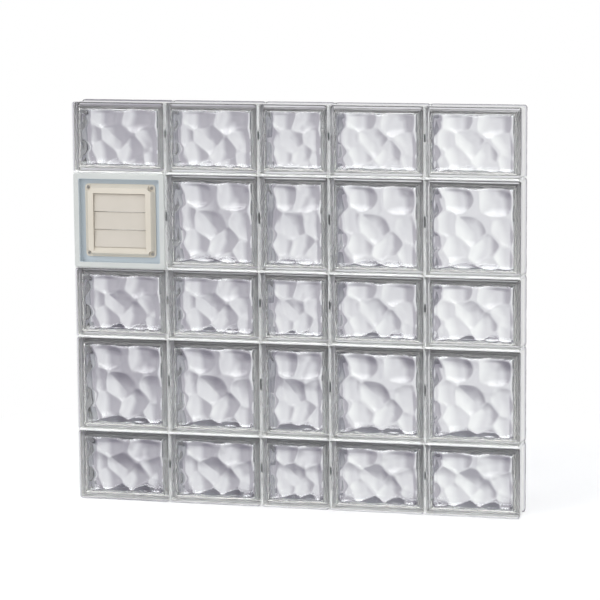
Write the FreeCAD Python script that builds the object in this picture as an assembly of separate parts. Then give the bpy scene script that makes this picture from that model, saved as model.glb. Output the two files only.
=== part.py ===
import FreeCAD, Part
import math
import os

# A ready-assembled panel of hollow glass blocks, five across and five high, bonded with clear
# sealant. One block's place holds a dryer vent with three hinged flaps. +X runs along the wall,
# +Y from the outside to the room and +Z up. The origin is the middle of the underside.

V = FreeCAD.Vector
ALONG_X = V(1, 0, 0)
ALONG_Y = V(0, 1, 0)

# Layout. A module is the room that one block takes with its share of the joints.
long_module = 196.85
short_module = 146.05
column_modules = [long_module, long_module, short_module, long_module, long_module]
row_modules = [short_module, long_module, short_module, long_module, short_module]
vent_row = 2
vent_column = 1
panel_depth = 79.375

# Sealant joints between the blocks.
joint = 1.2
joint_setback = 2.5

# The outer form that glass blocks and the vent housing share.
lip_depth = 9.0
lip_height = 3.0
lip_round = 2.4
corner_round = 5.0
seam_height = 1.2
seam_width = 5.0

# Glass, from the outside of a lip or face to the hollow inside.
rim_width = 11.0
face_thickness = 8.0
hollow_corner_round = 8.0
hollow_edge_round = 3.0

# Vent housing: a hollow moulded block with a recessed front and a round port for a 4 in duct.
border_width = 11.5
recess_depth = 14.0
recess_corner_round = 4.0
housing_wall = 4.0
duct_radius = 50.8
duct_clearance = 0.4
port_wall = 3.0

# Louvre cover, screwed to the floor of the recess.
moat_width = 11.0
cover_setback = 2.0
flange_thickness = 3.0
flange_corner_round = 7.0
frame_width = 19.0
frame_foot_inset = 1.5
frame_slope_inset = 6.5
frame_edge_round = 1.2
sill_bevel_height = 8.0
sill_bevel_depth = 5.0
stop_rib_height = 3.0
stop_rib_thickness = 2.0

# Screws, one in each corner of the cover.
screw_inset = 7.0
screw_notch = 7.0
screw_head_radius = 3.4
screw_head_height = 1.8
screw_head_round = 0.9
screw_shank_radius = 1.7
screw_length = 12.0
screw_clearance = 0.2
drive_slot_length = 4.2
drive_slot_width = 0.9
drive_slot_depth = 1.0

# Flaps, each hanging from two moulded pins.
flap_count = 3
flap_names = ["flap_top", "flap_middle", "flap_bottom"]
flap_thickness = 1.8
flap_edge_round = 0.36
flap_side_gap = 0.8
pivot_setback = 7.5
pin_radius = 1.6
pin_clearance = 0.05
pin_reach = 3.5
pin_end_gap = 0.5
pivot_drop = 2.8
edge_gap = 2.2
sill_gap = 1.2
tip_lead = 2.8
rest_gap = 0.3

front = -panel_depth / 2
back = panel_depth / 2
total_width = sum(column_modules) - joint
total_height = sum(row_modules) - joint


def middles(modules):
    """The middle of each block along a run of modules that starts half a joint before zero."""
    places = []
    start = -joint / 2
    for module in modules:
        places.append(start + module / 2)
        start += module
    return places


column_middles = [x - total_width / 2 for x in middles(column_modules)]
row_middles = [total_height - z for z in middles(row_modules)]


def box(width, height, near, far):
    """A plain box centred on the Y axis, from y = near to y = far."""
    return Part.makeBox(width, far - near, height, V(-width / 2, near, -height / 2))


def edges_along_y(shape):
    """The straight edges that run from front to back."""
    found = []
    for edge in shape.Edges:
        ends = edge.lastVertex().Point.sub(edge.firstVertex().Point)
        if abs(ends.y) > 0.99 * ends.Length and ends.Length > 0:
            found.append(edge)
    return found


def edges_at(shape, y):
    """The edges that lie in the plane at y."""
    limits = [(edge, edge.BoundBox) for edge in shape.Edges]
    return [edge for edge, b in limits if abs(b.YMin - y) < 1e-4 and abs(b.YMax - y) < 1e-4]


def rounded_box(width, height, near, far, corner):
    """A box whose four front-to-back edges are rounded."""
    plain = box(width, height, near, far)
    return plain.makeFillet(corner, edges_along_y(plain))


def block_form(width, height):
    """The outside of a block: two rounded lips, the side walls between them and the seam."""
    front_lip = rounded_box(width, height, front, front + lip_depth, corner_round)
    front_lip = front_lip.makeFillet(lip_round, edges_at(front_lip, front))
    back_lip = rounded_box(width, height, back - lip_depth, back, corner_round)
    back_lip = back_lip.makeFillet(lip_round, edges_at(back_lip, back))
    wall_width = width - 2 * lip_height
    wall_height = height - 2 * lip_height
    walls = box(wall_width, wall_height, front + lip_depth / 2, back - lip_depth / 2)
    seam = box(
        wall_width + 2 * seam_height,
        wall_height + 2 * seam_height,
        -seam_width / 2,
        seam_width / 2,
    )
    return front_lip.fuse([walls, seam, back_lip]).removeSplitter()


def glass_block(width, height):
    """Two pressed halves fused at the seam around one sealed hollow."""
    near = front + face_thickness
    far = back - face_thickness
    hollow = rounded_box(
        width - 2 * rim_width, height - 2 * rim_width, near, far, hollow_corner_round
    )
    ends = edges_at(hollow, near) + edges_at(hollow, far)
    hollow = hollow.makeFillet(hollow_edge_round, ends)
    return block_form(width, height).cut(hollow)


def joint_web(width, height):
    """The thick part of a joint, which fills the channels behind the lips of two blocks."""
    return box(width, height, front + lip_depth, back - lip_depth)


def joint_fins(width, height):
    """The thin parts of a joint, between the lips of two blocks at the front and the back."""
    near = box(width, height, front + joint_setback, front + lip_depth)
    far = box(width, height, back - lip_depth, back - joint_setback)
    return [near, far]


def seam_grooves(shape, length_along_z):
    """Cuts the slots that the seams of both neighbours press into a joint."""
    web = joint + 2 * lip_height
    for side in (-1, 1):
        offset = side * (web / 2 - seam_height / 2)
        if length_along_z:
            groove = box(seam_height, 2 * total_height, -seam_width / 2, seam_width / 2)
            groove.translate(V(offset, 0, 0))
        else:
            groove = box(2 * total_width, seam_height, -seam_width / 2, seam_width / 2)
            groove.translate(V(0, 0, offset))
        shape = shape.cut(groove)
    return shape


def vertical_joint():
    """One upright joint, as high as the panel, centred on the origin."""
    web = joint_web(joint + 2 * lip_height, total_height - 2 * lip_height)
    web = seam_grooves(web, True)
    return web.fuse(joint_fins(joint, total_height)).removeSplitter()


def bed_joint(width):
    """One level joint under a block of this width, centred on the origin."""
    web = joint_web(width - 2 * lip_height, joint + 2 * lip_height)
    web = seam_grooves(web, False)
    return web.fuse(joint_fins(width, joint)).removeSplitter()


vent_width = column_modules[vent_column - 1] - joint
vent_height = row_modules[vent_row - 1] - joint
recess_width = vent_width - 2 * border_width
recess_height = vent_height - 2 * border_width
recess_floor = front + recess_depth
port_radius = duct_radius + duct_clearance
cover_width = recess_width - 2 * moat_width
cover_height = recess_height - 2 * moat_width
cover_front = front + cover_setback
opening_width = cover_width - 2 * frame_width
opening_height = cover_height - 2 * frame_width
flange_front = recess_floor - flange_thickness
screw_places = [
    ("top_left", -1, 1),
    ("top_right", 1, 1),
    ("bottom_left", -1, -1),
    ("bottom_right", 1, -1),
]

flap_width = opening_width - 2 * flap_side_gap
flap_pitch = (opening_height - pivot_drop - sill_gap + edge_gap) / flap_count
flap_drop = flap_pitch - edge_gap
flap_tilt = math.degrees(math.asin(tip_lead / flap_drop))
pivot_y = cover_front + pivot_setback
pivot_heights = [opening_height / 2 - pivot_drop - i * flap_pitch for i in range(flap_count)]


def screw_axis(side, level):
    """Where a screw's axis crosses the plane y = 0, from the middle of the cover."""
    x = side * (cover_width / 2 - screw_inset)
    z = level * (cover_height / 2 - screw_inset)
    return V(x, 0, z)


def bored(shape, radius, near, far, place):
    """The shape with a round hole along Y."""
    base = V(place.x, near, place.z)
    return shape.cut(Part.makeCylinder(radius, far - near, base, ALONG_Y))


def vent_housing():
    """The block that carries the vent, centred on the origin."""
    body = block_form(vent_width, vent_height)
    recess = rounded_box(
        recess_width, recess_height, front - 1, recess_floor, recess_corner_round
    )
    hollow_width = vent_width - 2 * (lip_height + housing_wall)
    hollow_height = vent_height - 2 * (lip_height + housing_wall)
    near = recess_floor + housing_wall
    far = back - housing_wall
    hollow = box(hollow_width, hollow_height, near, far)
    hollow = bored(hollow, port_radius + port_wall, near, far, V(0, 0, 0))
    body = body.cut(recess).cut(hollow)
    body = bored(body, port_radius, recess_floor - 1, back + 1, V(0, 0, 0))
    for _, side, level in screw_places:
        hole_radius = screw_shank_radius + screw_clearance
        body = bored(body, hole_radius, recess_floor - 1, near + 1, screw_axis(side, level))
    return body


def rectangle(width, height, y):
    """A closed rectangular wire in the plane at y."""
    x = width / 2
    z = height / 2
    return Part.makePolygon([V(-x, y, -z), V(x, y, -z), V(x, y, z), V(-x, y, z), V(-x, y, -z)])


def raised_frame():
    """The part of the cover that stands on its flange, with sloping outer sides."""
    foot = 2 * frame_foot_inset
    ridge = foot + 2 * frame_slope_inset
    low = rectangle(cover_width - foot, cover_height - foot, flange_front)
    high = rectangle(cover_width - ridge, cover_height - ridge, cover_front)
    frame = Part.makeLoft([low, high], True, True)
    return frame.makeFillet(frame_edge_round, edges_at(frame, cover_front))


def corner_notch(side, level):
    """The rounded notch that leaves a screw's corner of the flange bare."""
    depth = flange_front - cover_front + 1
    axis = screw_axis(side, level)
    outer = screw_inset + screw_notch
    notch = Part.makeBox(outer, depth, outer, V(-screw_notch, cover_front - 1, -screw_notch))
    notch = notch.makeFillet(screw_notch, [inner_edge(notch)])
    if side < 0:
        notch = notch.mirror(V(0, 0, 0), V(1, 0, 0))
    if level < 0:
        notch = notch.mirror(V(0, 0, 0), V(0, 0, 1))
    notch.translate(axis)
    return notch


def inner_edge(notch):
    """The front-to-back edge of a notch that is nearest the middle of the cover."""
    return min(edges_along_y(notch), key=lambda e: e.BoundBox.XMax + e.BoundBox.ZMax)


def sill_bevel():
    """The wedge cut from the front of the opening's lower edge, so that it sheds water."""
    top = -opening_height / 2
    near = cover_front - 1
    rise = sill_bevel_height * (1 + 1 / sill_bevel_depth)
    corners = [
        V(-opening_width / 2, near, top + 1),
        V(-opening_width / 2, near, top - rise),
        V(-opening_width / 2, cover_front + sill_bevel_depth, top),
        V(-opening_width / 2, cover_front + sill_bevel_depth, top + 1),
    ]
    outline = Part.makePolygon(corners + corners[:1])
    return Part.Face(outline).extrude(V(opening_width, 0, 0))


def louvre_cover():
    """The frame that holds the flaps, centred on the origin."""
    body = rounded_box(
        cover_width, cover_height, flange_front, recess_floor, flange_corner_round
    )
    body = body.fuse(raised_frame()).removeSplitter()
    for _, side, level in screw_places:
        body = body.cut(corner_notch(side, level))
        hole_radius = screw_shank_radius + screw_clearance
        place = screw_axis(side, level)
        body = bored(body, hole_radius, flange_front - 1, recess_floor + 1, place)
    body = body.cut(box(opening_width, opening_height, front - 1, recess_floor + 1))
    body = body.cut(sill_bevel())
    sill = -opening_height / 2
    lean = stop_rib_height * tip_lead / flap_drop
    rib_front = pivot_y - tip_lead + flap_thickness / 2 + lean + rest_gap
    rib = Part.makeBox(
        opening_width,
        stop_rib_thickness,
        stop_rib_height,
        V(-opening_width / 2, rib_front, sill),
    )
    body = body.fuse(rib).removeSplitter()
    reach = opening_width / 2 + pin_reach + pin_end_gap
    for height in pivot_heights:
        pivot = Part.makeCylinder(
            pin_radius + pin_clearance, 2 * reach, V(-reach, pivot_y, height), ALONG_X
        )
        body = body.cut(pivot)
    return body


def flap():
    """One flap hanging closed, with its pivot on the X axis."""
    thickness = flap_thickness / 2
    plate = Part.makeBox(
        flap_width, flap_thickness, flap_drop, V(-flap_width / 2, -thickness, -flap_drop)
    )
    plate = plate.makeFillet(flap_edge_round, lower_edges(plate))
    reach = opening_width / 2 + pin_reach
    pins = Part.makeCylinder(pin_radius, 2 * reach, V(-reach, 0, 0), ALONG_X)
    whole = plate.fuse(pins).removeSplitter()
    whole.rotate(V(0, 0, 0), ALONG_X, -flap_tilt)
    return whole


def lower_edges(plate):
    """The two long edges at the bottom of a flap's plate."""
    low = plate.BoundBox.ZMin
    return [e for e in plate.Edges if e.BoundBox.ZMax < low + 1e-4 and e.BoundBox.XLength > 1]


def cover_screw():
    """A round-headed screw whose head sits on the flange, with its axis on the Y axis."""
    head_front = flange_front - screw_head_height
    head = Part.makeCylinder(
        screw_head_radius, screw_head_height, V(0, head_front, 0), ALONG_Y
    )
    head = head.makeFillet(screw_head_round, edges_at(head, head_front))
    shank = Part.makeCylinder(screw_shank_radius, screw_length, V(0, flange_front, 0), ALONG_Y)
    slot_end = head_front + drive_slot_depth
    slot = box(drive_slot_length, drive_slot_width, head_front - 1, slot_end)
    cross_slot = box(drive_slot_width, drive_slot_length, head_front - 1, slot_end)
    return head.fuse(shank).removeSplitter().cut([slot, cross_slot])


def placed(shape, x, z):
    """A copy of a shape moved along the wall and up it."""
    copy = shape.copy()
    copy.translate(V(x, 0, z))
    return copy


def export(shape, node):
    """Writes one node's file."""
    shape.exportStep(os.path.join("parts", node + ".step"))


def export_glass():
    """One block for each place in the grid that the vent doesn't take."""
    blocks = {}
    for row, (row_module, z) in enumerate(zip(row_modules, row_middles), start=1):
        for column, (module, x) in enumerate(zip(column_modules, column_middles), start=1):
            if (row, column) == (vent_row, vent_column):
                continue
            size = (module - joint, row_module - joint)
            if size not in blocks:
                blocks[size] = glass_block(*size)
            export(placed(blocks[size], x, z), f"glass_block_r{row}_c{column}")


def export_joints():
    """The upright joints run through, and the level ones fill in between them."""
    upright = vertical_joint()
    for number in range(1, len(column_modules)):
        x = column_middles[number - 1] + column_modules[number - 1] / 2
        export(placed(upright, x, total_height / 2), f"vertical_joint_{number}")
    beds = {module: bed_joint(module - joint) for module in set(column_modules)}
    for number in range(1, len(row_modules)):
        z = row_middles[number - 1] - row_modules[number - 1] / 2
        run = [placed(beds[m], x, z) for m, x in zip(column_modules, column_middles)]
        export(Part.makeCompound(run), f"bed_joint_{number}")


def export_vent():
    """The housing, and what it carries."""
    x = column_middles[vent_column - 1]
    z = row_middles[vent_row - 1]
    export(placed(vent_housing(), x, z), "vent_housing")
    export(placed(louvre_cover(), x, z), "louvre_cover")
    screw = cover_screw()
    for name, side, level in screw_places:
        axis = screw_axis(side, level)
        export(placed(screw, x + axis.x, z + axis.z), f"cover_screw_{name}")
    hanging = flap()
    hanging.translate(V(0, pivot_y, 0))
    for name, height in zip(flap_names, pivot_heights):
        export(placed(hanging, x, z + height), name)
        print(f"{name}: pivot at {x:.3f}, {pivot_y:.3f}, {z + height:.3f}")
    print(f"port: {x:.3f}, {z:.3f}, radius {port_radius}, length {back - recess_floor:.3f}")


os.makedirs("parts", exist_ok=True)
export_glass()
export_joints()
export_vent()
print(f"panel: {total_width:.2f} x {panel_depth} x {total_height:.2f} mm")
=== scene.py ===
import math

import bmesh
import bpy
import numpy as np
from mathutils import Matrix, Vector


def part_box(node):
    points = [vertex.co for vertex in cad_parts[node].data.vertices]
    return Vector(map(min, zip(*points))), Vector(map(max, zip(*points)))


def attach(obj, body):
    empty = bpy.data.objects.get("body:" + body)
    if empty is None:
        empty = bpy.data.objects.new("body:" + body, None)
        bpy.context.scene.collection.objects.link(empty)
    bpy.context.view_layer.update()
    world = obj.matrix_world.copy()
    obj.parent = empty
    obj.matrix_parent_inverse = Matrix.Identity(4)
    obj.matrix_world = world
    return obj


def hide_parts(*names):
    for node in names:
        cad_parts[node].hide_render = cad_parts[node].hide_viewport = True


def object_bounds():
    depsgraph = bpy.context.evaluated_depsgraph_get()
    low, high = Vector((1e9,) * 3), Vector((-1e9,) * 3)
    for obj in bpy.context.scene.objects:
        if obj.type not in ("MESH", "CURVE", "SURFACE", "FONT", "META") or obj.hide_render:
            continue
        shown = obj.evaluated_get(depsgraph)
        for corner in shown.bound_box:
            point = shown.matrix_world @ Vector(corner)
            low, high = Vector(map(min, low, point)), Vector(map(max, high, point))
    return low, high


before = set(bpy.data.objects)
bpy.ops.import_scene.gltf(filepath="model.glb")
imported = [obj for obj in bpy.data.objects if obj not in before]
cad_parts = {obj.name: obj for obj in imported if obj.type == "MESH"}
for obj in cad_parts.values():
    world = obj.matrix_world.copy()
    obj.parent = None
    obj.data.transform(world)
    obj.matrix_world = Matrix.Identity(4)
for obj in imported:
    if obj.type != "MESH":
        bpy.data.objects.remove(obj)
cad_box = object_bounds()
bpy.ops.object.select_all(action="DESELECT")


# --- Glass blocks -------------------------------------------------------------------------
# Each block is two halves pressed from clear soda-lime glass and fused at mid-depth around a
# sealed hollow. The inner faces are pressed with soft pillow-like waves, and the side walls
# carry a pale vinyl coating that the sealant grips.
glass_nodes = sorted(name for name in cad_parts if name.startswith("glass_block"))
panel_front = cad_box[0].y
panel_back = cad_box[1].y

# The outside: raised lips round both faces, and a low seam where the halves meet.
lip_depth = 0.009
lip_height = 0.003
lip_round = 0.0024
lip_turns = (0, 30, 60, 90)
corner_round = 0.005
corner_segments = 4
seam_height = 0.0012
seam_half_width = 0.0025
weld_reach = 1e-6

# The hollow: its place inside the block, and the side walls between its two faces.
rim_width = 0.011
face_thickness = 0.007
hollow_round = 0.011
wall_rings = 7
wall_draft = 0.004
bead_height = 0.0015
ring_reach = 0.0015

# The waves: domes round these centres, given as shares of a face's width and height.
wave_step = 0.0024
wave_margin = 0.012
wave_height_near = 0.0055
wave_height_far = 0.0018
pillow_radius = 0.036
crease_blend = 0.0045
bend_height = 0.004
bend_length = 0.014
bend_start_across = 0.5
bend_start_up = 2.0
pillow_centres_near = [
    (0.28, 0.86), (0.76, 0.83), (0.02, 0.76), (0.16, 0.52), (0.46, 0.47), (0.93, 0.44),
    (0.02, 0.36), (0.30, 0.25), (0.62, 0.24), (0.90, 0.16), (0.08, 0.10), (0.44, 0.02),
    (0.72, 0.02),
]
pillow_centres_far = [
    (0.32, 0.74), (0.84, 0.62), (0.12, 0.28), (0.56, 0.30), (0.62, 0.98), (0.90, 0.08),
]

# A face whose normal has less than this much of Y in it is a side wall.
hollow_wall_lean = 0.7
outer_wall_lean = 0.5
smooth_angle = math.radians(35)

# The glass and its coating. Painted shade makes the hollow's walls greyer than its faces, and
# darker still where they turn into its faces.
glass_index = 1.5
glass_dark = (0.975, 0.985, 0.985)
glass_light = (0.99, 0.998, 0.995)
# Painted grey shade for the hollow's side walls, which are the same glass as its faces.
wall_painted_shade_dark = (0.62, 0.64, 0.66)
wall_painted_shade_light = (0.82, 0.83, 0.85)
# Darker painted shade where the walls turn into the faces, between these depths.
turn_start = 0.0215
turn_end = 0.0245
turn_full = 0.7
turn_painted_shade = (0.42, 0.43, 0.45)
coating_dark = (0.86, 0.86, 0.83)
coating_light = (0.94, 0.94, 0.92)
noise_low = 0.3
noise_high = 0.7


def faces_where(piece, test):
    """Selects a mesh's faces by their middle and direction, in edit mode."""
    mesh = bmesh.from_edit_mesh(piece.data)
    for face in mesh.faces:
        face.select_set(bool(test(face.calc_center_median(), face.normal)))
    bmesh.update_edit_mesh(piece.data)


def spots_near(piece, y):
    """Selects a mesh's vertices that lie near the plane at y, in edit mode."""
    mesh = bmesh.from_edit_mesh(piece.data)
    for vertex in mesh.verts:
        vertex.select_set(abs(vertex.co.y - y) < ring_reach)
    bmesh.update_edit_mesh(piece.data)


def add_outline(width, height, y):
    """A flat rounded rectangle that faces the outside, left in edit mode."""
    bpy.ops.mesh.primitive_plane_add(size=1, rotation=(math.pi / 2, 0, 0))
    outline = bpy.context.object
    outline.scale = (width, height, 1)
    outline.location = (0, y, 0)
    bpy.ops.object.transform_apply(location=True, rotation=True, scale=True)
    bpy.ops.object.mode_set(mode="EDIT")
    bpy.ops.mesh.select_all(action="SELECT")
    bpy.ops.mesh.bevel(offset=corner_round, segments=corner_segments, affect="VERTICES")
    return outline


def lip_steps(outer_y, inward):
    """Places and insets round the edge of a lip, from its flat face to its side."""
    steps = []
    for turn in lip_turns:
        angle = math.radians(turn)
        depth = lip_round * (1 - math.cos(angle))
        steps.append((outer_y + inward * depth, lip_round * (1 - math.sin(angle))))
    return steps


def add_shell(width, height):
    """The outside of a block, drawn out from its front outline lip by lip."""
    steps = lip_steps(panel_front, 1)
    steps += [(panel_front + lip_depth, 0), (panel_front + lip_depth, lip_height)]
    steps += [(-seam_half_width, lip_height), (-seam_half_width, lip_height - seam_height)]
    steps += [(seam_half_width, lip_height - seam_height), (seam_half_width, lip_height)]
    steps += [(panel_back - lip_depth, lip_height), (panel_back - lip_depth, 0)]
    steps += lip_steps(panel_back, -1)[::-1]
    last_y, last_inset = steps[0]
    shell = add_outline(width - 2 * last_inset, height - 2 * last_inset, last_y)
    for y, inset in steps[1:]:
        bpy.ops.mesh.extrude_region_move(TRANSFORM_OT_translate={"value": (0, y - last_y, 0)})
        wider = (width - 2 * inset) / (width - 2 * last_inset)
        taller = (height - 2 * inset) / (height - 2 * last_inset)
        bpy.ops.transform.resize(value=(wider, 1, taller), center_override=(0, y, 0))
        last_y, last_inset = y, inset
    bpy.ops.mesh.select_all(action="SELECT")
    bpy.ops.mesh.remove_doubles(threshold=weld_reach)
    bpy.ops.mesh.normals_make_consistent(inside=False)
    bpy.ops.object.mode_set(mode="OBJECT")
    return shell


def add_wave_face(width, height, y, inward, centres, wave_height):
    """One inner face of the hollow: a fine grid pressed with pillows and rounded at its rim."""
    columns = round(width / wave_step)
    rows = round(height / wave_step)
    bpy.ops.mesh.primitive_grid_add(
        x_subdivisions=columns, y_subdivisions=rows, size=1, rotation=(inward * math.pi / 2, 0, 0)
    )
    face = bpy.context.object
    face.scale = (width, height, 1)
    bpy.ops.object.transform_apply(location=True, rotation=True, scale=True)
    points = np.empty(len(face.data.vertices) * 3, np.float32)
    face.data.vertices.foreach_get("co", points)
    points = points.reshape(-1, 3).astype(float)
    across, up = points[:, 0], points[:, 2]
    middles = (np.array(centres) - 0.5) * (width, height)
    bent_across = across + bend_height * np.sin(up / bend_length + bend_start_across)
    bent_up = up + bend_height * np.sin(across / bend_length + bend_start_up)
    squares = (bent_across[:, None] - middles[:, 0]) ** 2
    squares += (bent_up[:, None] - middles[:, 1]) ** 2
    nearest = -(crease_blend**2) * np.log(np.exp(-squares / crease_blend**2).sum(axis=1))
    share = np.maximum(1 - nearest / pillow_radius**2, 0)
    edge = np.minimum(width / 2 - abs(across), height / 2 - abs(up))
    fade = np.clip(edge / wave_margin, 0, 1)
    waves = wave_height * share * fade * fade * (3 - 2 * fade)
    short = np.clip(hollow_round - edge, 0, hollow_round)
    rounding = hollow_round - np.sqrt(hollow_round**2 - short**2)
    points[:, 1] = y + inward * (waves + rounding)
    face.data.vertices.foreach_set("co", points.ravel().astype(np.float32))
    bpy.ops.object.mode_set(mode="EDIT")
    bpy.ops.mesh.select_all(action="SELECT")
    bpy.ops.mesh.vertices_smooth(factor=0.5, repeat=1, xaxis=False, zaxis=False)
    bpy.ops.object.mode_set(mode="OBJECT")
    return face


def add_hollow(width, height):
    """The inside of a block: two wavy faces joined by its side walls, facing into the hollow."""
    inside = (width - 2 * rim_width, height - 2 * rim_width)
    front_y = panel_front + face_thickness
    near = add_wave_face(*inside, front_y, 1, pillow_centres_near, wave_height_near)
    far = add_wave_face(*inside, -front_y, -1, pillow_centres_far, wave_height_far)
    near.select_set(True)
    bpy.ops.object.join()
    bpy.ops.object.mode_set(mode="EDIT")
    bpy.ops.mesh.select_mode(type="EDGE")
    bpy.ops.mesh.select_all(action="DESELECT")
    bpy.ops.mesh.select_non_manifold(
        extend=False,
        use_wire=False,
        use_multi_face=False,
        use_non_contiguous=False,
        use_verts=False,
    )
    bpy.ops.mesh.bridge_edge_loops(number_cuts=wall_rings)
    wall_reach = panel_back - face_thickness - hollow_round
    for ring in range(1, wall_rings + 1):
        y = wall_reach * (2 * ring / (wall_rings + 1) - 1)
        swell = wall_draft * (1 - abs(y) / wall_reach)
        is_middle_ring = 2 * ring == wall_rings + 1
        if is_middle_ring:
            swell -= bead_height
        spots_near(far, y)
        wider = 1 + 2 * swell / inside[0]
        taller = 1 + 2 * swell / inside[1]
        bpy.ops.transform.resize(value=(wider, 1, taller), center_override=(0, y, 0))
    bpy.ops.mesh.select_all(action="SELECT")
    bpy.ops.mesh.normals_make_consistent(inside=True)
    bpy.ops.mesh.select_mode(type="FACE")
    bpy.ops.object.mode_set(mode="OBJECT")
    return far


def coat_faces(piece, material, test):
    """Gives a mesh all the block's materials, and this one to the faces that pass the test."""
    for block_material in block_materials:
        piece.data.materials.append(block_material)
    bpy.context.view_layer.objects.active = piece
    piece.select_set(True)
    bpy.ops.object.mode_set(mode="EDIT")
    faces_where(piece, test)
    piece.active_material_index = block_materials.index(material)
    bpy.ops.object.material_slot_assign()
    bpy.ops.object.mode_set(mode="OBJECT")


def add_block(width, height):
    """A whole block centred on the origin: its hollow joined to its outer shell."""
    hollow = add_hollow(width, height)
    coat_faces(hollow, wall_glass, lambda middle, normal: abs(normal.y) < hollow_wall_lean)
    block = add_shell(width, height)
    waist = panel_back - lip_depth
    coat_faces(
        block,
        edge_coating,
        lambda middle, normal: abs(middle.y) < waist and abs(normal.y) < outer_wall_lean,
    )
    hollow.select_set(True)
    bpy.ops.object.join()
    bpy.ops.object.shade_smooth_by_angle(angle=smooth_angle)
    block.select_set(False)
    return block


def new_material(name):
    """A material with its tree, its shader and a coordinate node on Object coordinates."""
    material = bpy.data.materials.new(name)
    material.use_nodes = True
    tree = material.node_tree
    place = tree.nodes.new("ShaderNodeTexCoord")
    return material, tree, tree.nodes["Principled BSDF"], place.outputs["Object"]


def add_noise(tree, vector, scale, detail=2.0, stretch=None):
    """A noise pattern of this many features a metre, drawn out along an axis if stretched."""
    if stretch:
        mapping = tree.nodes.new("ShaderNodeMapping")
        mapping.inputs["Scale"].default_value = stretch
        tree.links.new(vector, mapping.inputs["Vector"])
        vector = mapping.outputs["Vector"]
    noise = tree.nodes.new("ShaderNodeTexNoise")
    noise.inputs["Scale"].default_value = scale
    noise.inputs["Detail"].default_value = detail
    tree.links.new(vector, noise.inputs["Vector"])
    return noise.outputs["Fac"]


def add_ramp(tree, factor, stops):
    """Colours along a factor, as (place, colour) pairs."""
    ramp = tree.nodes.new("ShaderNodeValToRGB")
    elements = ramp.color_ramp.elements
    while len(elements) < len(stops):
        elements.new(0.5)
    for element, (place, colour) in zip(elements, stops):
        element.position = place
        element.color = (*colour, 1)
    tree.links.new(factor, ramp.inputs["Fac"])
    return ramp.outputs["Color"]


def add_tones(tree, noise, dark, light):
    """Colours from dark to light along the span where a noise pattern mostly lies."""
    return add_ramp(tree, noise, [(noise_low, dark), (noise_high, light)])


def add_range(tree, noise, low, high):
    """A number from low to high along the span where a noise pattern mostly lies."""
    span = tree.nodes.new("ShaderNodeMapRange")
    span.inputs["From Min"].default_value = noise_low
    span.inputs["From Max"].default_value = noise_high
    span.inputs["To Min"].default_value = low
    span.inputs["To Max"].default_value = high
    tree.links.new(noise, span.inputs["Value"])
    return span.outputs["Result"]


def add_bump(tree, height, strength, distance):
    """A bump from a height pattern, as a normal."""
    bump = tree.nodes.new("ShaderNodeBump")
    bump.inputs["Strength"].default_value = strength
    bump.inputs["Distance"].default_value = distance
    tree.links.new(height, bump.inputs["Height"])
    return bump.outputs["Normal"]


def add_axes(tree, vector):
    """A vector's three numbers, as sockets named X, Y and Z."""
    axes = tree.nodes.new("ShaderNodeSeparateXYZ")
    tree.links.new(vector, axes.inputs[0])
    return axes.outputs


def feed(tree, value, socket):
    """Links another node's socket to this one, or sets this one to a plain value."""
    if isinstance(value, bpy.types.NodeSocket):
        tree.links.new(value, socket)
    else:
        socket.default_value = value


def add_math(tree, operation, *values):
    """A calculation on one or two numbers, each from a socket or plain."""
    node = tree.nodes.new("ShaderNodeMath")
    node.operation = operation
    for value, socket in zip(values, node.inputs):
        feed(tree, value, socket)
    return node.outputs[0]


def add_colour_mix(tree, blend, factor, first, second):
    """Two colours blended this way and this much."""
    mix = tree.nodes.new("ShaderNodeMix")
    mix.data_type = "RGBA"
    mix.blend_type = blend
    feed(tree, factor, mix.inputs["Factor"])
    feed(tree, first, mix.inputs["A"])
    feed(tree, second, mix.inputs["B"])
    return mix.outputs["Result"]


def glass_material():
    """Clear glass with a faint green cast, cords of uneven tint and a pressed surface."""
    material, tree, shader, place = new_material("pressed_glass")
    cords = add_noise(tree, place, scale=14, stretch=(1.0, 1.0, 0.35))
    tree.links.new(add_tones(tree, cords, glass_dark, glass_light), shader.inputs["Base Color"])
    skin = add_noise(tree, place, scale=60)
    tree.links.new(add_range(tree, skin, low=0.01, high=0.05), shader.inputs["Roughness"])
    shader.inputs["Transmission Weight"].default_value = 1.0
    shader.inputs["IOR"].default_value = glass_index
    return material


def wall_material():
    """The glass of the hollow's side walls: shear marks over painted grey shade, and darker
    painted shade at the turn into each face.
    """
    material, tree, shader, place = new_material("wall_glass")
    marks = add_noise(tree, place, scale=45, detail=3, stretch=(1.0, 0.3, 1.0))
    # Painted grey shade on the side walls, broken up by the shear marks.
    tint = add_tones(tree, marks, wall_painted_shade_dark, wall_painted_shade_light)
    # Darker painted shade at the turn into each face, by depth.
    turn = tree.nodes.new("ShaderNodeMapRange")
    turn.inputs["From Min"].default_value = turn_start
    turn.inputs["From Max"].default_value = turn_end
    tree.links.new(add_math(tree, "ABSOLUTE", add_axes(tree, place)["Y"]), turn.inputs["Value"])
    shade = add_ramp(tree, turn.outputs["Result"], [(0.0, (1, 1, 1)), (turn_full, turn_painted_shade)])
    colour = add_colour_mix(tree, "MULTIPLY", 1.0, tint, shade)
    tree.links.new(colour, shader.inputs["Base Color"])
    tree.links.new(add_range(tree, marks, low=0.03, high=0.12), shader.inputs["Roughness"])
    tree.links.new(add_bump(tree, marks, strength=0.35, distance=0.001), shader.inputs["Normal"])
    shader.inputs["Transmission Weight"].default_value = 1.0
    shader.inputs["IOR"].default_value = glass_index
    return material


def coating_material():
    """The pale, slightly chalky coating on a block's side walls."""
    material, tree, shader, place = new_material("edge_coating")
    streaks = add_noise(tree, place, scale=40, detail=4, stretch=(1.0, 1.0, 0.25))
    colour = add_tones(tree, streaks, coating_dark, coating_light)
    tree.links.new(colour, shader.inputs["Base Color"])
    tree.links.new(add_range(tree, streaks, low=0.45, high=0.65), shader.inputs["Roughness"])
    tree.links.new(add_bump(tree, streaks, strength=0.3, distance=0.0005), shader.inputs["Normal"])
    return material


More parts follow.
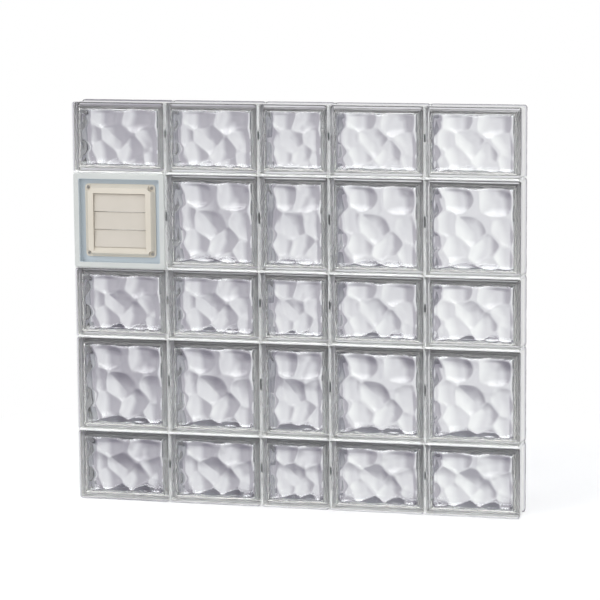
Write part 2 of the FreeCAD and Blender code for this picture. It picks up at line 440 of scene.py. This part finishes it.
pressed_glass = glass_material()
wall_glass = wall_material()
edge_coating = coating_material()
block_materials = (pressed_glass, edge_coating, wall_glass)
masters = {}
for node in glass_nodes:
    low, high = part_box(node)
    middle = (low + high) / 2
    size = (round(high.x - low.x, 4), round(high.z - low.z, 4))
    if size not in masters:
        masters[size] = add_block(*size)
    block = masters[size].copy()
    block.data = masters[size].data.copy()
    block.data.transform(Matrix.Translation((middle.x, 0, middle.z)))
    block.name = node.replace("glass_block", "pressed_block")
    bpy.context.collection.objects.link(block)
    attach(block, "window")
    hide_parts(node)
for master in masters.values():
    bpy.data.objects.remove(master)


# --- Sealant joints -----------------------------------------------------------------------
# Clear silicone gunned between the blocks and tooled just behind their lips. It cures to a
# faintly milky rubber, cloudier where it is thick.
sealant_dark = (0.77, 0.78, 0.77)
sealant_light = (0.88, 0.89, 0.88)


def sealant_material():
    """Milky silicone, with a soft sheen and slow waves from the tooling."""
    material, tree, shader, place = new_material("clear_sealant")
    cloud = add_noise(tree, place, scale=30, detail=3)
    colour = add_tones(tree, cloud, sealant_dark, sealant_light)
    tree.links.new(colour, shader.inputs["Base Color"])
    tree.links.new(add_range(tree, cloud, low=0.2, high=0.4), shader.inputs["Roughness"])
    tree.links.new(add_bump(tree, cloud, strength=0.2, distance=0.001), shader.inputs["Normal"])
    return material


def dress(prefix, material):
    """Gives every CAD node whose name starts this way its material."""
    for name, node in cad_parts.items():
        if name.startswith(prefix):
            node.data.materials.clear()
            node.data.materials.append(material)


clear_sealant = sealant_material()
dress("vertical_joint", clear_sealant)
dress("bed_joint", clear_sealant)


# --- Vent housing -------------------------------------------------------------------------
# A hollow block moulded in off-white plastic, the size of the glass block it replaces. The
# cover screws to the floor of its recess.
vent_low, vent_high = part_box("vent_housing")
vent_middle = (vent_low + vent_high) / 2
recess_half_width = 0.0866
recess_back = -0.025
housing_dark = (0.58, 0.60, 0.585)
housing_light = (0.65, 0.67, 0.65)
housing_roughness = (0.38, 0.5)
# Painted shade: a bluish shadow tone laid on the plastic inside the recess.
recess_painted_shade = (0.56, 0.62, 0.66, 1)


def moulded_material(name, dark, light, roughness):
    """Satin moulded plastic: slow shifts of tone and a fine spark-eroded grain."""
    material, tree, shader, place = new_material(name)
    tone = add_noise(tree, place, scale=9, detail=3)
    tree.links.new(add_tones(tree, tone, dark, light), shader.inputs["Base Color"])
    grain = add_noise(tree, place, scale=1500)
    tree.links.new(add_range(tree, tone, *roughness), shader.inputs["Roughness"])
    tree.links.new(add_bump(tree, grain, strength=0.25, distance=0.0002), shader.inputs["Normal"])
    return material


def housing_material():
    """The housing's plastic, with painted bluish shade inside its recess."""
    material = moulded_material(
        "housing_plastic", housing_dark, housing_light, housing_roughness
    )
    tree = material.node_tree
    shader = tree.nodes["Principled BSDF"]
    plain = shader.inputs["Base Color"].links[0].from_socket
    place = tree.nodes.new("ShaderNodeTexCoord").outputs["Object"]
    offset = tree.nodes.new("ShaderNodeVectorMath")
    offset.operation = "SUBTRACT"
    offset.inputs[1].default_value = vent_middle
    tree.links.new(place, offset.inputs[0])
    distance = tree.nodes.new("ShaderNodeVectorMath")
    distance.operation = "ABSOLUTE"
    tree.links.new(offset.outputs["Vector"], distance.inputs[0])
    from_middle = add_axes(tree, distance.outputs["Vector"])
    farther = add_math(tree, "MAXIMUM", from_middle["X"], from_middle["Z"])
    within = add_math(tree, "LESS_THAN", farther, recess_half_width)
    in_front = add_math(tree, "LESS_THAN", add_axes(tree, place)["Y"], recess_back)
    recess = add_math(tree, "MULTIPLY", within, in_front)
    # Painted bluish shade, mixed in over the walls and floor of the recess only.
    colour = add_colour_mix(tree, "MIX", recess, plain, recess_painted_shade)
    tree.links.new(colour, shader.inputs["Base Color"])
    return material


dress("vent_housing", housing_material())


# --- Louvre cover and flaps ---------------------------------------------------------------
# Both are injection moulded in almond plastic. The cover is screwed on at its corners, and
# each flap hangs by two pins in its sides.
cover_dark = (0.66, 0.61, 0.52)
cover_light = (0.73, 0.68, 0.59)
# Painted shade: the flaps get a darker copy of the cover's almond plastic, for the shade they sit
# in behind the cover's frame.
flap_painted_shade_dark = (0.60, 0.56, 0.49)
flap_painted_shade_light = (0.66, 0.61, 0.54)
louvre_roughness = (0.32, 0.45)
cover_plastic = moulded_material("cover_plastic", cover_dark, cover_light, louvre_roughness)
flap_plastic_painted_shade = moulded_material("flap_plastic_painted_shade", flap_painted_shade_dark, flap_painted_shade_light, louvre_roughness)
dress("louvre_cover", cover_plastic)
dress("flap", flap_plastic_painted_shade)


# --- Cover screws -------------------------------------------------------------------------
# Round-headed plated steel screws, dulled by weather, through the corners of the cover's
# flange into the floor of the recess.
blotch_low = 0.35
blotch_high = 0.65
steel_dark = (0.36, 0.35, 0.32)
steel_light = (0.62, 0.61, 0.57)
steel_metallic = 0.9


def screw_material():
    """Dull plated steel with darker blotches."""
    material, tree, shader, place = new_material("plated_steel")
    blotch = add_noise(tree, place, scale=700, detail=4)
    colour = add_ramp(tree, blotch, [(blotch_low, steel_dark), (blotch_high, steel_light)])
    tree.links.new(colour, shader.inputs["Base Color"])
    tree.links.new(add_range(tree, blotch, low=0.3, high=0.5), shader.inputs["Roughness"])
    shader.inputs["Metallic"].default_value = steel_metallic
    return material


dress("cover_screw", screw_material())


# --- Floor, studio and camera -------------------------------------------------------------
# A pale floor that fades to the white of the backdrop. The studio that glass and gloss show
# is bright fore and aft and greyer low down and to the sides, which gives the glass its edges.
floor_radius = 1.3
floor_sides = 96
floor_dark = (0.93, 0.93, 0.93)
floor_light = (0.96, 0.96, 0.96)
floor_roughness = 0.9
floor_lift = 0.22
fade_start = 0.55
fade_end = 1.2

# Tones of the studio, by how far a direction turns to the side, and by how far it rises.
side_stops = [
    (0.08, (1.0, 1.0, 1.0)),
    (0.18, (0.76, 0.75, 0.78)),
    (0.24, (0.80, 0.79, 0.82)),
    (0.31, (0.44, 0.42, 0.47)),
    (0.55, (0.46, 0.44, 0.49)),
    (0.85, (1.0, 1.0, 1.0)),
]
level_stops = [
    (0.12, (0.44, 0.43, 0.47)),
    (0.26, (0.48, 0.47, 0.51)),
    (0.36, (0.92, 0.92, 0.93)),
    (0.60, (1.0, 1.0, 1.0)),
    (0.80, (1.1, 1.1, 1.1)),
]
level_shift = 0.6
white = (1, 1, 1, 1)

# A light above the outside of the panel, which only the glass passes on.
overhead_start = 0.25
overhead_end = 0.5
overhead_strength = 6.5
ambient_colour = (0.97, 0.98, 1, 1)
ambient_strength = 0.8

# The lamps, and where the camera stands.
key_place = (-1.8, -2.4, 2.6)
key_size = 1.6
key_power = 40
fill_place = (2.6, -0.8, 1.2)
fill_size = 1.2
fill_power = 8
view_target = Vector((0.004, 0, 0.428))
view_azimuth = math.radians(14.27)
view_elevation = math.radians(8.80)
view_roll = math.radians(-0.47)
view_distance = 5.69
view_lens = 167


def add_shader_mix(tree, factor, first, second):
    """The first shader, or the second where the factor is 1."""
    mix = tree.nodes.new("ShaderNodeMixShader")
    tree.links.new(factor, mix.inputs["Fac"])
    tree.links.new(first, mix.inputs[1])
    tree.links.new(second, mix.inputs[2])
    return mix.outputs[0]


def add_shader_sum(tree, first, second):
    """Two shaders added up."""
    total = tree.nodes.new("ShaderNodeAddShader")
    tree.links.new(first, total.inputs[0])
    tree.links.new(second, total.inputs[1])
    return total.outputs[0]


def add_floor():
    """A round floor that fades to white at its rim and isn't seen through the glass."""
    bpy.ops.mesh.primitive_circle_add(
        vertices=floor_sides, radius=floor_radius, fill_type="NGON"
    )
    floor = bpy.context.object
    floor.name = "floor"
    material, tree, shader, place = new_material("pale_floor")
    grain = add_noise(tree, place, scale=5)
    tree.links.new(add_tones(tree, grain, floor_dark, floor_light), shader.inputs["Base Color"])
    shader.inputs["Roughness"].default_value = floor_roughness
    matt = shader.outputs[0]
    distance = tree.nodes.new("ShaderNodeVectorMath")
    distance.operation = "LENGTH"
    tree.links.new(place, distance.inputs[0])
    fade = tree.nodes.new("ShaderNodeMapRange")
    fade.interpolation_type = "SMOOTHSTEP"
    fade.inputs["From Min"].default_value = fade_start
    fade.inputs["From Max"].default_value = fade_end
    tree.links.new(distance.outputs["Value"], fade.inputs["Value"])
    lift = tree.nodes.new("ShaderNodeEmission")
    lift.inputs["Strength"].default_value = floor_lift
    lifted = add_shader_sum(tree, matt, lift.outputs[0])
    backdrop = tree.nodes.new("ShaderNodeEmission").outputs[0]
    faded = add_shader_mix(tree, fade.outputs["Result"], lifted, backdrop)
    path = tree.nodes.new("ShaderNodeLightPath")
    seen = add_shader_mix(tree, path.outputs["Is Camera Ray"], matt, faded)
    clear = tree.nodes.new("ShaderNodeBsdfTransparent").outputs[0]
    through_glass = add_shader_mix(tree, path.outputs["Is Transmission Ray"], seen, clear)
    tree.links.new(through_glass, tree.nodes["Material Output"].inputs["Surface"])
    floor.data.materials.append(material)


def add_background(tree, colour, strength):
    """The world's light in this colour and strength, each from a socket or plain."""
    background = tree.nodes.new("ShaderNodeBackground")
    feed(tree, colour, background.inputs["Color"])
    feed(tree, strength, background.inputs["Strength"])
    return background.outputs[0]


def add_world():
    """White to the camera, a soft light to matt surfaces, and the studio to glass and gloss."""
    world = bpy.data.worlds.new("studio")
    bpy.context.scene.world = world
    world.use_nodes = True
    tree = world.node_tree
    tree.nodes.clear()
    place = tree.nodes.new("ShaderNodeTexCoord")
    path = tree.nodes.new("ShaderNodeLightPath").outputs
    toward = add_axes(tree, place.outputs["Generated"])
    side = add_ramp(tree, add_math(tree, "ABSOLUTE", toward["X"]), side_stops)
    level = add_ramp(tree, add_math(tree, "ADD", toward["Z"], level_shift), level_stops)
    tone = add_colour_mix(tree, "MULTIPLY", 1.0, side, level)
    studio = add_background(tree, tone, 1.0)
    rise = tree.nodes.new("ShaderNodeMapRange")
    rise.inputs["From Min"].default_value = overhead_start
    rise.inputs["From Max"].default_value = overhead_end
    rise.inputs["To Max"].default_value = overhead_strength
    tree.links.new(toward["Z"], rise.inputs["Value"])
    outdoors = add_math(tree, "LESS_THAN", toward["Y"], 0.0)
    overhead = add_math(tree, "MULTIPLY", rise.outputs["Result"], outdoors)
    for_glass = add_math(tree, "MULTIPLY", overhead, path["Is Transmission Ray"])
    lit_studio = add_shader_sum(tree, studio, add_background(tree, white, for_glass))
    ambient = add_background(tree, ambient_colour, ambient_strength)
    by_diffuse = add_shader_mix(tree, path["Is Diffuse Ray"], lit_studio, ambient)
    backdrop = add_background(tree, white, 1.0)
    by_camera = add_shader_mix(tree, path["Is Camera Ray"], by_diffuse, backdrop)
    output = tree.nodes.new("ShaderNodeOutputWorld")
    tree.links.new(by_camera, output.inputs["Surface"])


def add_softbox(name, place, size, power):
    """A square area lamp aimed at the panel, which gloss and glass don't show."""
    lamp = bpy.data.lights.new(name, "AREA")
    lamp.size = size
    lamp.energy = power
    softbox = bpy.data.objects.new(name, lamp)
    bpy.context.collection.objects.link(softbox)
    softbox.visible_glossy = False
    softbox.visible_transmission = False
    softbox.location = place
    softbox.rotation_mode = "QUATERNION"
    softbox.rotation_quaternion = (view_target - Vector(place)).to_track_quat("-Z", "Y")


add_floor()
add_world()
add_softbox("key", key_place, key_size, key_power)
add_softbox("fill", fill_place, fill_size, fill_power)

camera = bpy.data.objects.new("camera", bpy.data.cameras.new("camera"))
bpy.context.collection.objects.link(camera)
toward_camera = Vector(
    (
        math.sin(view_azimuth) * math.cos(view_elevation),
        -math.cos(view_azimuth) * math.cos(view_elevation),
        math.sin(view_elevation),
    )
)
camera.location = view_target + toward_camera * view_distance
camera.rotation_mode = "QUATERNION"
upright = (-toward_camera).to_track_quat("-Z", "Y")
camera.rotation_quaternion = upright @ Matrix.Rotation(view_roll, 3, "Z").to_quaternion()
camera.data.lens = view_lens
bpy.context.scene.camera = camera
bpy.context.scene.view_settings.view_transform = "Standard"
